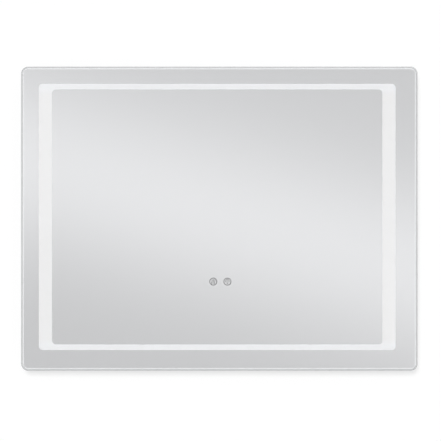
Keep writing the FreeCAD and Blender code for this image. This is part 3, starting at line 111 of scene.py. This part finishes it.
class Tree:
    """Adds shader nodes to one tree.

    An input is a plain value, another node's socket, or a node, which then gives its first output.
    """

    def __init__(self, tree):
        self.tree = tree
        tree.nodes.clear()

    def add(self, kind, inputs=(), **settings):
        made = self.tree.nodes.new("ShaderNode" + kind)
        for key, value in settings.items():
            setattr(made, key, value)
        for key, value in dict(inputs).items():
            if isinstance(value, bpy.types.Node):
                value = value.outputs[0]
            if isinstance(value, bpy.types.NodeSocket):
                self.tree.links.new(value, made.inputs[key])
            else:
                made.inputs[key].default_value = value
        return made

    def math(self, operation, a, b=0.0, c=0.0):
        return self.add("Math", {0: a, 1: b, 2: c}, operation=operation).outputs[0]

    def where(self, stretch=(1, 1, 1)):
        """The point on the object, stretched along each axis."""
        point = self.add("TexCoord").outputs["Object"]
        return self.add("VectorMath", {0: point, 1: stretch}, operation="MULTIPLY").outputs[0]

    def axis(self, letter):
        """One coordinate of the point on the object, in metres."""
        return self.add("SeparateXYZ", {0: self.where()}).outputs[letter]

    def off_middle(self, letter, low, high):
        """How far the point lies from midway between low and high along an axis, in metres."""
        return self.math("ABSOLUTE", self.math("SUBTRACT", self.axis(letter), (low + high) / 2))

    def facing(self, letter):
        """How far the surface faces along an axis, from -1 to 1."""
        normal = self.add("NewGeometry").outputs["Normal"]
        return self.add("SeparateXYZ", {0: normal}).outputs[letter]

    def noise(self, scale, detail, stretch=(1, 1, 1)):
        """Soft noise of about that many patches to a metre."""
        inputs = {"Vector": self.where(stretch), "Scale": scale, "Detail": detail}
        return self.add("TexNoise", inputs).outputs[0]

    def cells(self, scale, output="Distance"):
        """About that many cells to a metre: how far the nearest middle is, or each cell's Color."""
        return self.add("TexVoronoi", {"Vector": self.where(), "Scale": scale}).outputs[output]

    def span(self, value, low, high, to_low=0.0, to_high=1.0):
        """value carried from one range to another, and held at its ends."""
        inputs = {0: value, 1: low, 2: high, 3: to_low, 4: to_high}
        return self.add("MapRange", inputs).outputs[0]

    def vary(self, noise, to_low, to_high):
        """A number that goes with a noise from one value to another."""
        return self.span(noise, *NOISE_MIDDLE, to_low, to_high)

    def lerp(self, share, first, second):
        """A number between two, by share. A Mix node's own numbers are its sockets 2 and 3."""
        return self.add("Mix", {0: share, 2: first, 3: second}).outputs[0]

    def blend(self, share, first, second):
        """A colour between two, by share. A Mix node's own colours are its sockets 6 and 7."""
        inputs = {0: share}
        for key, colour in ((6, first), (7, second)):
            inputs[key] = colour if isinstance(colour, bpy.types.NodeSocket) else (*colour, 1)
        return self.add("Mix", inputs, data_type="RGBA").outputs[2]

    def ramp(self, value, stops):
        """A number by straight runs between (place, number) pairs, places from 0 to 1."""
        made = self.add("ValToRGB", {0: value})
        elements = made.color_ramp.elements
        for place, number in stops[1:-1]:
            elements.new(place).color = (number, number, number, 1)
        for element, (place, number) in ((elements[0], stops[0]), (elements[-1], stops[-1])):
            element.position = place
            element.color = (number, number, number, 1)
        return made.outputs[0]

    def bump(self, height, depth, strength):
        """A normal that follows a height; depth is in metres for a height of 1."""
        inputs = {"Height": height, "Distance": depth, "Strength": strength}
        return self.add("Bump", inputs).outputs[0]

    def principled(self, **sockets):
        """A Principled shader; a socket's name has its spaces as underscores."""
        return self.add("BsdfPrincipled", {key.replace("_", " "): value for key, value in sockets.items()})

    def output(self, shader):
        self.add("OutputMaterial", {"Surface": shader})


def material(name, paint, *extra):
    """A new material whose nodes paint() lays out."""
    made = bpy.data.materials.new(name)
    made.use_nodes = True
    paint(Tree(made.node_tree), *extra)
    return made


# ---- glass, silvering and film -------------------------------------------------------------------
END_BAND = 0.013            # width of the lit window's top and bottom bands


def clear_glass(t, light, dark, clarity, roughness):
    """Glass between two tints that lets the lamps through to what lies behind it."""
    ripple = t.noise(14.0, 1.0)
    glass = t.principled(Base_Color=t.blend(ripple, light, dark), Roughness=roughness, IOR=1.5,
                         Transmission_Weight=clarity, Normal=t.bump(ripple, 0.00002, 0.3))
    through = t.add("BsdfTransparent")
    shadow = t.add("LightPath").outputs["Is Shadow Ray"]
    t.output(t.add("MixShader", {0: shadow, 1: glass, 2: through}))


def silver(t):
    """Silvering, all but flawless."""
    cloud = t.noise(5.0, 3.0)
    tint = t.blend(cloud, (0.947, 0.949, 0.966), (0.953, 0.955, 0.972))
    rough = t.span(t.noise(60.0, 2.0), 0.35, 0.65, 0.0, 0.012)
    t.output(t.principled(Base_Color=tint, Metallic=1.0, Roughness=rough))


def frosted_glass(t):
    """Sandblasted glass with a fine grain, and a painted glow that stands in for light. The slim end bands
    are tinted whiter as painted light against their darker shading.
    """
    low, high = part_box("frosted_window")
    reach = (high.z - low.z) / 2
    # Painted light: a mask for the slim top and bottom bands, which are tinted whiter to make up for the
    # shade they fall in.
    painted_light_ends = t.span(t.off_middle("Z", low.z, high.z), reach - 2 * END_BAND, reach - END_BAND)
    grain = t.noise(2600.0, 2.0)
    side_tint = t.blend(grain, (0.79, 0.79, 0.795), (0.83, 0.825, 0.83))
    # Painted light: a whiter, bluer tint for the end bands, to offset their shade.
    painted_light_end_tint = t.blend(grain, (0.81, 0.82, 0.84), (0.845, 0.855, 0.875))
    tint = t.blend(painted_light_ends, side_tint, painted_light_end_tint)
    # Painted glow: a weak emission brightens the band though no lamp lights it.
    t.output(t.principled(Base_Color=tint, Roughness=0.8, Normal=t.bump(grain, 0.00002, 0.6),
                          Emission_Color=WHITE, Emission_Strength=0.17))


def icon_etch(t):
    """Etched strokes, coloured near black as painted shade for the unlit space behind the etch."""
    grain = t.noise(4000.0, 2.0)
    # Painted shade: near-black tints stand for the unlit space behind the strokes.
    tint = t.blend(grain, (0.018, 0.018, 0.02), (0.030, 0.030, 0.032))
    t.output(t.principled(Base_Color=tint, Roughness=0.6, Normal=t.bump(grain, 0.00001, 0.5)))


def safety_film(t):
    """Blue-grey backing paint under a clear film with a woven scrim."""
    threads = {"Vector": t.where(), "Scale": 110.0}
    across, along = [t.add("TexWave", threads, bands_direction=letter).outputs[1] for letter in "XZ"]
    weave = t.math("MAXIMUM", across, along)
    mottle = t.noise(40.0, 4.0)
    paint = t.blend(mottle, (0.23, 0.255, 0.28), (0.29, 0.315, 0.34))
    tint = t.blend(t.span(weave, 0.82, 1.0, 0.0, 0.35), paint, (0.42, 0.44, 0.46))
    t.output(t.principled(Base_Color=tint, Roughness=t.vary(mottle, 0.32, 0.48),
                          Normal=t.bump(weave, 0.00004, 0.5)))


# ---- metals --------------------------------------------------------------------------------------
DIE_LINES = 900             # for each metre across a profile
DIE_BREAKS = 3              # for each metre along it


def aluminium(t, along):
    """Extruded aluminium, anodised satin, with die lines along its length."""
    stretch = [DIE_BREAKS if letter == along else DIE_LINES for letter in "XYZ"]
    lines = t.noise(1.0, 3.0, stretch)
    cloud = t.noise(18.0, 2.0)
    tint = t.blend(lines, (0.70, 0.71, 0.72), (0.80, 0.81, 0.82))
    rough = t.math("ADD", t.vary(lines, 0.26, 0.40), t.vary(cloud, 0.0, 0.05))
    t.output(t.principled(Base_Color=tint, Metallic=1.0, Roughness=rough, Anisotropic=0.4,
                          Normal=t.bump(lines, 0.00003, 0.5)))


def zinc(t, spangle):
    """Zinc-plated steel: crystals of that pitch in metres, each feathered its own way."""
    crystal = t.cells(1.0 / spangle, "Color")
    value = t.add("RGBToBW", {0: crystal}).outputs[0]
    turn = {"Vector": t.where(), "Angle": t.math("MULTIPLY", value, 2 * math.pi)}
    turned = t.add("VectorRotate", turn, rotation_type="Y_AXIS")
    wave = {"Vector": turned, "Scale": 0.8 / spangle, "Distortion": 6.0, "Detail": 3.0, "Detail Scale": 2.0}
    feather = t.add("TexWave", wave).outputs[1]
    shade = t.math("MULTIPLY_ADD", feather, 0.16, t.math("MULTIPLY", value, 0.84))
    tint = t.blend(shade, (0.56, 0.57, 0.58), (0.71, 0.715, 0.71))
    rough = t.span(shade, 0.2, 0.8, 0.28, 0.40)
    t.output(t.principled(Base_Color=tint, Metallic=1.0, Roughness=rough,
                          Normal=t.bump(shade, 0.005 * spangle, 0.5)))


def powder_coat(t):
    """Light grey powder coat with orange peel and a faint speckle."""
    peel = t.noise(650.0, 2.0)
    speckle = t.cells(800.0)
    cloud = t.noise(5.0, 4.0)
    base = t.blend(t.vary(cloud, 0.0, 1.0), (0.56, 0.57, 0.575), (0.62, 0.63, 0.63))
    tint = t.blend(t.span(speckle, 0.0, 0.3, 0.5, 0.0), base, (0.40, 0.41, 0.42))
    t.output(t.principled(Base_Color=tint, Roughness=t.vary(peel, 0.30, 0.50),
                          Normal=t.bump(peel, 0.0003, 0.8)))


def gloss_white(t):
    """White reflective paint inside the light trays."""
    flow = t.noise(300.0, 2.0)
    tint = t.blend(t.noise(12.0, 3.0), (0.80, 0.80, 0.79), (0.86, 0.86, 0.85))
    t.output(t.principled(Base_Color=tint, Roughness=t.vary(flow, 0.18, 0.28),
                          Normal=t.bump(flow, 0.00005, 0.4)))


def copper(t):
    """Bare copper, darkening unevenly."""
    tarnish = t.noise(260.0, 4.0)
    tint = t.blend(tarnish, (0.86, 0.46, 0.28), (0.55, 0.27, 0.17))
    t.output(t.principled(Base_Color=tint, Metallic=1.0, Roughness=t.vary(tarnish, 0.2, 0.45)))


# ---- rubber, foam and plastics -------------------------------------------------------------------
def rubber(t):
    """Moulded rubber with a dull bloom."""
    grain = t.noise(1500.0, 3.0)
    bloom = t.noise(70.0, 4.0)
    tint = t.blend(bloom, (0.018, 0.018, 0.019), (0.050, 0.050, 0.051))
    t.output(t.principled(Base_Color=tint, Roughness=t.vary(bloom, 0.62, 0.85),
                          Normal=t.bump(grain, 0.00006, 0.6)))


def foam(t):
    """Closed-cell foam tape."""
    cell = t.cells(1400.0)
    tint = t.blend(t.span(cell, 0.0, 0.6), (0.012, 0.012, 0.014), (0.050, 0.050, 0.053))
    t.output(t.principled(Base_Color=tint, Roughness=0.9, Normal=t.bump(cell, 0.0002, 0.8)))


def moulded(t, dark, light):
    """Spark-textured moulded plastic between two tones."""
    texture = t.noise(1900.0, 4.0)
    tint = t.blend(t.noise(25.0, 2.0), dark, light)
    t.output(t.principled(Base_Color=tint, Roughness=t.vary(texture, 0.42, 0.6),
                          Normal=t.bump(texture, 0.00006, 0.5)))


def opal_acrylic(t):
    """Milky acrylic that carries light."""
    haze = t.noise(35.0, 3.0)
    tint = t.blend(haze, (0.84, 0.845, 0.84), (0.89, 0.89, 0.885))
    t.output(t.principled(Base_Color=tint, Roughness=t.vary(haze, 0.22, 0.34),
                          Subsurface_Weight=0.3, Subsurface_Scale=0.003))


def sheath(t, dark, light):
    """PVC sheath with the faint flats of its twisted cores."""
    twist = t.noise(160.0, 2.0)
    fine = t.noise(1200.0, 2.0)
    t.output(t.principled(Base_Color=t.blend(twist, dark, light), Roughness=t.vary(twist, 0.36, 0.5),
                          Normal=t.bump(fine, 0.00004, 0.4)))


# ---- electrical parts ----------------------------------------------------------------------------
CUT_PITCH = 0.0999          # between a light strip's cut marks, three chips apart
PAD_SHARE = 0.05            # of that pitch, which the copper pads at a mark take
TRACK_PITCH = 0.0032        # between the tracks across a light strip
TRACK_SHARE = 0.55
HEATER_PITCH = 0.009        # between the rows of the heating track
HEATER_SHARE = 0.45
HEATER_REACH = 0.195        # from the middle out to where the rows turn
TAPE_SHARE = 0.56           # of the transformer's height, which its tape covers


def striped(t, letter, pitch, share):
    """1 on a stripe that takes that share of each pitch along an axis, and 0 between."""
    turn = t.math("FRACT", t.math("DIVIDE", t.axis(letter), pitch))
    return t.math("LESS_THAN", turn, share)


def flex_circuit(t, along):
    """A white flexible circuit with printed tracks along it and copper pads at each cut mark."""
    across = {"X": "Z", "Z": "X"}[along]
    pads = striped(t, along, CUT_PITCH, PAD_SHARE)
    split = striped(t, across, TRACK_PITCH, TRACK_SHARE)
    mask = t.blend(t.noise(90.0, 3.0), (0.78, 0.78, 0.75), (0.84, 0.84, 0.81))
    tracked = t.blend(t.math("MULTIPLY", split, 0.12), mask, (0.62, 0.60, 0.52))
    tint = t.blend(t.math("MULTIPLY", pads, split), tracked, (0.72, 0.40, 0.22))
    t.output(t.principled(Base_Color=tint, Roughness=t.lerp(pads, 0.42, 0.25),
                          Normal=t.bump(split, 0.00003, 0.4)))


def led_lens(t):
    """A white chip body with a yellow phosphor face towards the glass."""
    face = t.math("LESS_THAN", t.facing("Y"), -0.7)
    grain = t.noise(3000.0, 3.0)
    phosphor = t.blend(grain, (0.85, 0.62, 0.08), (0.92, 0.74, 0.16))
    t.output(t.principled(Base_Color=t.blend(face, (0.85, 0.85, 0.83), phosphor),
                          Roughness=t.lerp(face, 0.35, 0.18), Normal=t.bump(grain, 0.00002, 0.3)))


def circuit_board(t):
    """Green solder mask over branching tracks, with tinned pads."""
    brick = {"Vector": t.where(), "Scale": 95.0, "Mortar Size": 0.035,
             "Color1": BLACK, "Color2": BLACK, "Mortar": WHITE}
    tracks = t.add("TexBrick", brick, offset=0.37).outputs[1]
    pads = t.math("LESS_THAN", t.cells(230.0), 0.16)
    mask = t.blend(t.noise(120.0, 3.0), (0.012, 0.10, 0.045), (0.022, 0.15, 0.07))
    tracked = t.blend(tracks, mask, (0.05, 0.24, 0.12))
    t.output(t.principled(Base_Color=t.blend(pads, tracked, (0.66, 0.66, 0.63)),
                          Roughness=t.lerp(pads, 0.38, 0.22),
                          Normal=t.bump(t.math("MAXIMUM", tracks, pads), 0.00005, 0.6)))


def heater_film(t):
    """An amber film with the even meander of its heating track."""
    rows = striped(t, "Z", HEATER_PITCH, HEATER_SHARE)
    ends = t.math("GREATER_THAN", t.math("ABSOLUTE", t.axis("X")), HEATER_REACH)
    track = t.math("MAXIMUM", rows, ends)
    film = t.blend(t.noise(30.0, 4.0), (0.50, 0.24, 0.06), (0.60, 0.31, 0.09))
    t.output(t.principled(Base_Color=t.blend(t.math("MULTIPLY", track, 0.75), film, (0.20, 0.09, 0.03)),
                          Roughness=t.lerp(track, 0.22, 0.34), Normal=t.bump(track, 0.00005, 0.5)))


def ferrite(t):
    """A wound core: dark ferrite with a band of yellow tape round its middle."""
    low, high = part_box("driver_transformer")
    tape = t.math("LESS_THAN", t.off_middle("Z", low.z, high.z), (high.z - low.z) * TAPE_SHARE / 2)
    grain = t.noise(900.0, 4.0)
    core = t.blend(grain, (0.016, 0.016, 0.018), (0.045, 0.045, 0.048))
    wrap = t.blend(grain, (0.62, 0.42, 0.05), (0.72, 0.52, 0.09))
    t.output(t.principled(Base_Color=t.blend(tape, core, wrap), Roughness=t.lerp(tape, 0.7, 0.32),
                          Normal=t.bump(grain, 0.00005, 0.5)))


def capacitor_sleeve(t):
    """A dark shrink sleeve with a pale stripe, over an aluminium can that shows at its end."""
    top = t.math("LESS_THAN", t.facing("Y"), -0.9)
    stripe = t.math("GREATER_THAN", t.facing("Z"), 0.86)
    film = t.blend(t.noise(400.0, 3.0), (0.010, 0.016, 0.05), (0.02, 0.03, 0.08))
    sleeve = t.blend(stripe, film, (0.55, 0.57, 0.60))
    t.output(t.principled(Base_Color=t.blend(top, sleeve, (0.62, 0.63, 0.64)), Metallic=top,
                          Roughness=t.lerp(top, 0.25, 0.35)))


# ---- who wears what ------------------------------------------------------------------------------
# Glass: two tints, how clear it is and how rough, on its faces, its polished bevel and its ground side.
GLASS_FACE = (0.991, 0.993, 0.992), (0.989, 0.991, 0.990), 1.0, 0.0
GLASS_BEVEL = (0.915, 0.925, 0.925), (0.89, 0.905, 0.905), 0.86, 0.02
GLASS_SIDE = (0.66, 0.80, 0.75), (0.58, 0.75, 0.69), 0.45, 0.30
FACE_TILT = math.radians(10)        # how far a face or a side may lean and still count as one
WHITE_PLASTIC = (0.70, 0.70, 0.68), (0.76, 0.76, 0.74)
BLACK_PLASTIC = (0.012, 0.012, 0.013), (0.03, 0.03, 0.032)
SHEET_SPANGLE = 0.007               # pitch of the zinc's crystals on rails and other sheet
SCREW_SPANGLE = 0.0012              # and on screws and small brackets


def materials_by_slot():
    """One material for each slot of the record, or one for each variant where a slot has some."""
    return {
        "clear_glass": material("clear_glass", clear_glass, *GLASS_FACE),
        "silver": material("silver", silver),
        "frosted_glass": material("frosted_glass", frosted_glass),
        "icon_etch": material("icon_etch", icon_etch),
        "safety_film": material("safety_film", safety_film),
        "aluminium_profile": {along: material("aluminium_" + along, aluminium, along) for along in "XZ"},
        "zinc_steel": {"sheet": material("zinc_sheet", zinc, SHEET_SPANGLE),
                       "screw": material("zinc_screw", zinc, SCREW_SPANGLE)},
        "coated_steel": material("powder_coat", powder_coat),
        "tray_white": material("tray_white", gloss_white),
        "foam_tape": material("foam_tape", foam),
        "opal_acrylic": material("opal_acrylic", opal_acrylic),
        "flex_circuit": {along: material("flex_circuit_" + along, flex_circuit, along) for along in "XZ"},
        "led_lens": material("led_lens", led_lens),
        "circuit_board": material("circuit_board", circuit_board),
        "copper_contact": material("copper", copper),
        "black_rubber": material("black_rubber", rubber),
        "white_plastic": material("white_plastic", moulded, *WHITE_PLASTIC),
        "black_plastic": material("black_plastic", moulded, *BLACK_PLASTIC),
        "heater_film": material("heater_film", heater_film),
        "lead_black": material("lead_black", sheath, *BLACK_PLASTIC),
        "lead_white": material("lead_white", sheath, *WHITE_PLASTIC),
        "ferrite": material("ferrite", ferrite),
        "capacitor_sleeve": material("capacitor_sleeve", capacitor_sleeve),
    }


def variant(name):
    """Which of its slot's materials a node wears, where there is more than one."""
    if "screw" in name or name == "corner_brackets":
        return "screw"
    if name.startswith(("chassis_", "led_strip_")):
        return "X" if name.endswith(("top", "bottom")) else "Z"
    return "sheet"


def dress_edge():
    """The pane's bevel gets a glass of its own, and so does its upright side."""
    mesh = nodes["glass_pane"].data
    mesh.materials.append(material("glass_bevel", clear_glass, *GLASS_BEVEL))
    mesh.materials.append(material("glass_side", clear_glass, *GLASS_SIDE))
    flat, bevel, side = range(3)
    for polygon in mesh.polygons:
        facing = abs(polygon.normal.y)
        if facing > math.cos(FACE_TILT):
            polygon.material_index = flat
        elif facing < math.sin(FACE_TILT):
            polygon.material_index = side
        else:
            polygon.material_index = bevel


def dress():
    """Gives every node the material of its slot."""
    wardrobe = materials_by_slot()
    for name, piece in nodes.items():
        worn = wardrobe[SLOTS[name]]
        if isinstance(worn, dict):
            worn = worn[variant(name)]
        piece.data.materials.clear()
        piece.data.materials.append(worn)
    dress_edge()


# ---- studio --------------------------------------------------------------------------------------
def streaks(t, place):
    """Brightness of the ridges, by the place along the diagonal that crosses them."""
    fold = t.math("WRAP", place, RIDGE_PITCH / 2, -RIDGE_PITCH / 2)
    square = t.math("MULTIPLY", fold, fold)
    ridge = t.math("EXPONENT", t.math("MULTIPLY", square, -1.0 / RIDGE_WIDTH ** 2))
    skew = t.math("SINE", t.math("MULTIPLY", place, 2 * math.pi / RIDGE_PITCH))
    drop = t.math("SUBTRACT", RIDGE_DROP, t.math("MULTIPLY", skew, RIDGE_SKEW))
    level = t.math("SUBTRACT", RIDGE_PEAK, t.math("MULTIPLY", drop, t.math("SUBTRACT", 1.0, ridge)))
    return t.math("DIVIDE", level, SEEN_SHARE)


def room(t, place, height, angle):
    """Brightness of the studio beyond the streaks: a level by angle, with broad waves further out."""
    stops = [(degrees / 180, level) for degrees, level in ROOM_LEVELS]
    plain = t.ramp(t.math("DIVIDE", angle, math.pi), stops)
    swing = t.math("SINE", t.math("MULTIPLY", place, 2 * math.pi / WAVE_PITCH))
    slope = t.math("MULTIPLY_ADD", height, FLOOR_SLOPE, t.math("MULTIPLY", swing, WAVE_HEIGHT))
    onset = t.span(angle, math.radians(WAVE_START), math.radians(WAVE_FULL))
    return t.math("MULTIPLY_ADD", slope, onset, plain)


def world():
    """White to the camera, soft diagonal streaks to the mirror and an even ambient light to the rest."""
    made = bpy.data.worlds.new("studio")
    made.use_nodes = True
    t = Tree(made.node_tree)
    direction = t.add("SeparateXYZ", {0: t.add("TexCoord").outputs["Generated"]}).outputs
    across = t.math("MULTIPLY", direction["X"], math.sin(RIDGE_ANGLE))
    up = t.math("MULTIPLY_ADD", direction["Z"], math.cos(RIDGE_ANGLE), across)
    place = t.math("SUBTRACT", up, RIDGE_CENTRE)
    angle = t.math("ARCCOSINE", t.math("MULTIPLY", direction["Y"], -1.0))
    beyond = t.span(angle, math.radians(STREAKS_END), math.radians(ROOM_LEVELS[0][0]))
    mirrored = t.lerp(beyond, streaks(t, place), room(t, place, direction["Z"], angle))
    path = t.add("LightPath").outputs
    scattered = t.math("GREATER_THAN", path["Diffuse Depth"], 0.5)
    seen = t.math("MAXIMUM", t.lerp(scattered, mirrored, 1.0 - KEY_SHARE), path["Is Camera Ray"])
    background = t.add("Background", {"Color": WHITE, "Strength": seen})
    t.add("OutputWorld", {"Surface": background})
    bpy.context.scene.world = made


def hang(name, lamp, travel):
    """Places a lamp that shines along travel and that neither mirror nor glass shows."""
    placed = bpy.data.objects.new(name, lamp)
    placed.rotation_mode = "QUATERNION"
    placed.rotation_quaternion = travel.to_track_quat("-Z", "Y")
    placed.visible_glossy = False
    placed.visible_transmission = False
    bpy.context.scene.collection.objects.link(placed)
    return placed


def key_lamp():
    """A soft distant lamp in front, above and to the left."""
    travel = Vector((KEY_ACROSS, 1.0, -KEY_DOWN)).normalized()
    lamp = bpy.data.lights.new("key", "SUN")
    lamp.energy = KEY_SHARE * math.pi / travel.y
    lamp.angle = KEY_ANGLE
    hang("key", lamp, travel)


def rear_lamp():
    """A soft square lamp behind the mirror, aimed at the middle of its back."""
    travel = (cad_low + cad_high) / 2 - REAR_LAMP
    lamp = bpy.data.lights.new("rear", "AREA")
    lamp.size = REAR_LAMP_SIZE
    # At a distance, such a lamp gives its energy over pi and over that distance squared.
    lamp.energy = REAR_SHARE * math.pi ** 2 * travel.length ** 3 / -travel.y
    hang("rear", lamp, travel).location = REAR_LAMP


def pale(t, glow, one_sided):
    """A pale surface that shows white and keeps a shadow; a one-sided one isn't there from behind."""
    path = t.add("LightPath").outputs
    seen = t.math("MAXIMUM", path["Is Camera Ray"], path["Is Transmission Ray"])
    light = t.add("Emission", {"Color": WHITE, "Strength": t.math("MULTIPLY", seen, glow)})
    tone = t.blend(t.noise(1.5, 2.0), (STAGE_ALBEDO,) * 3, (STAGE_ALBEDO * STAGE_MOTTLE,) * 3)
    shown = t.add("AddShader", {0: light, 1: t.add("BsdfDiffuse", {"Color": tone})})
    if one_sided:
        back = t.add("NewGeometry").outputs["Backfacing"]
        shown = t.add("MixShader", {0: back, 1: shown, 2: t.add("BsdfTransparent")})
    t.output(shown)


def sheet(name, corners, worn):
    """One flat piece of the stage."""
    mesh = bpy.data.meshes.new(name)
    mesh.from_pydata(corners, [], [(0, 1, 2, 3)])
    placed = bpy.data.objects.new(name, mesh)
    mesh.materials.append(worn)
    bpy.context.scene.collection.objects.link(placed)
    return placed


def stage():
    """A pale wall just behind the rail and bumpers, and a pale floor well below the mirror."""
    half = STAGE_SIZE / 2
    y = cad_high.y + WALL_GAP
    z = cad_low.z - FLOOR_BELOW
    wall = sheet("stage_wall", [(-half, y, z), (half, y, z), (half, y, z + half), (-half, y, z + half)],
                 material("stage_wall", pale, WALL_GLOW, True))
    wall.visible_diffuse = wall.visible_glossy = wall.visible_shadow = False
    floor = sheet("stage_floor", [(-half, -half, z), (half, -half, z), (half, half, z), (-half, half, z)],
                  material("stage_floor", pale, FLOOR_GLOW, False))
    floor.visible_diffuse = floor.visible_glossy = floor.visible_transmission = False


def camera():
    """Square on to the glass, with the photograph's framing."""
    metres_per_pixel = (glass_high.x - glass_low.x) / GLASS_PIXELS
    frame_width = PHOTO_SIDE * metres_per_pixel
    made = bpy.data.cameras.new("camera")
    made.sensor_width = SENSOR_WIDTH
    made.lens = SENSOR_WIDTH * CAMERA_DISTANCE / frame_width
    placed = bpy.data.objects.new("camera", made)
    right = (PHOTO_SIDE / 2 - GLASS_PIXEL_X) * metres_per_pixel
    down = (PHOTO_SIDE / 2 - GLASS_PIXEL_Y) * metres_per_pixel
    placed.location = (glass_centre.x + right, glass_low.y - CAMERA_DISTANCE, glass_centre.z - down)
    placed.rotation_euler = (math.radians(90), 0, 0)
    bpy.context.scene.collection.objects.link(placed)
    bpy.context.scene.camera = placed


dress()
world()
key_lamp()
rear_lamp()
stage()
camera()
bpy.context.scene.view_settings.view_transform = "Standard"
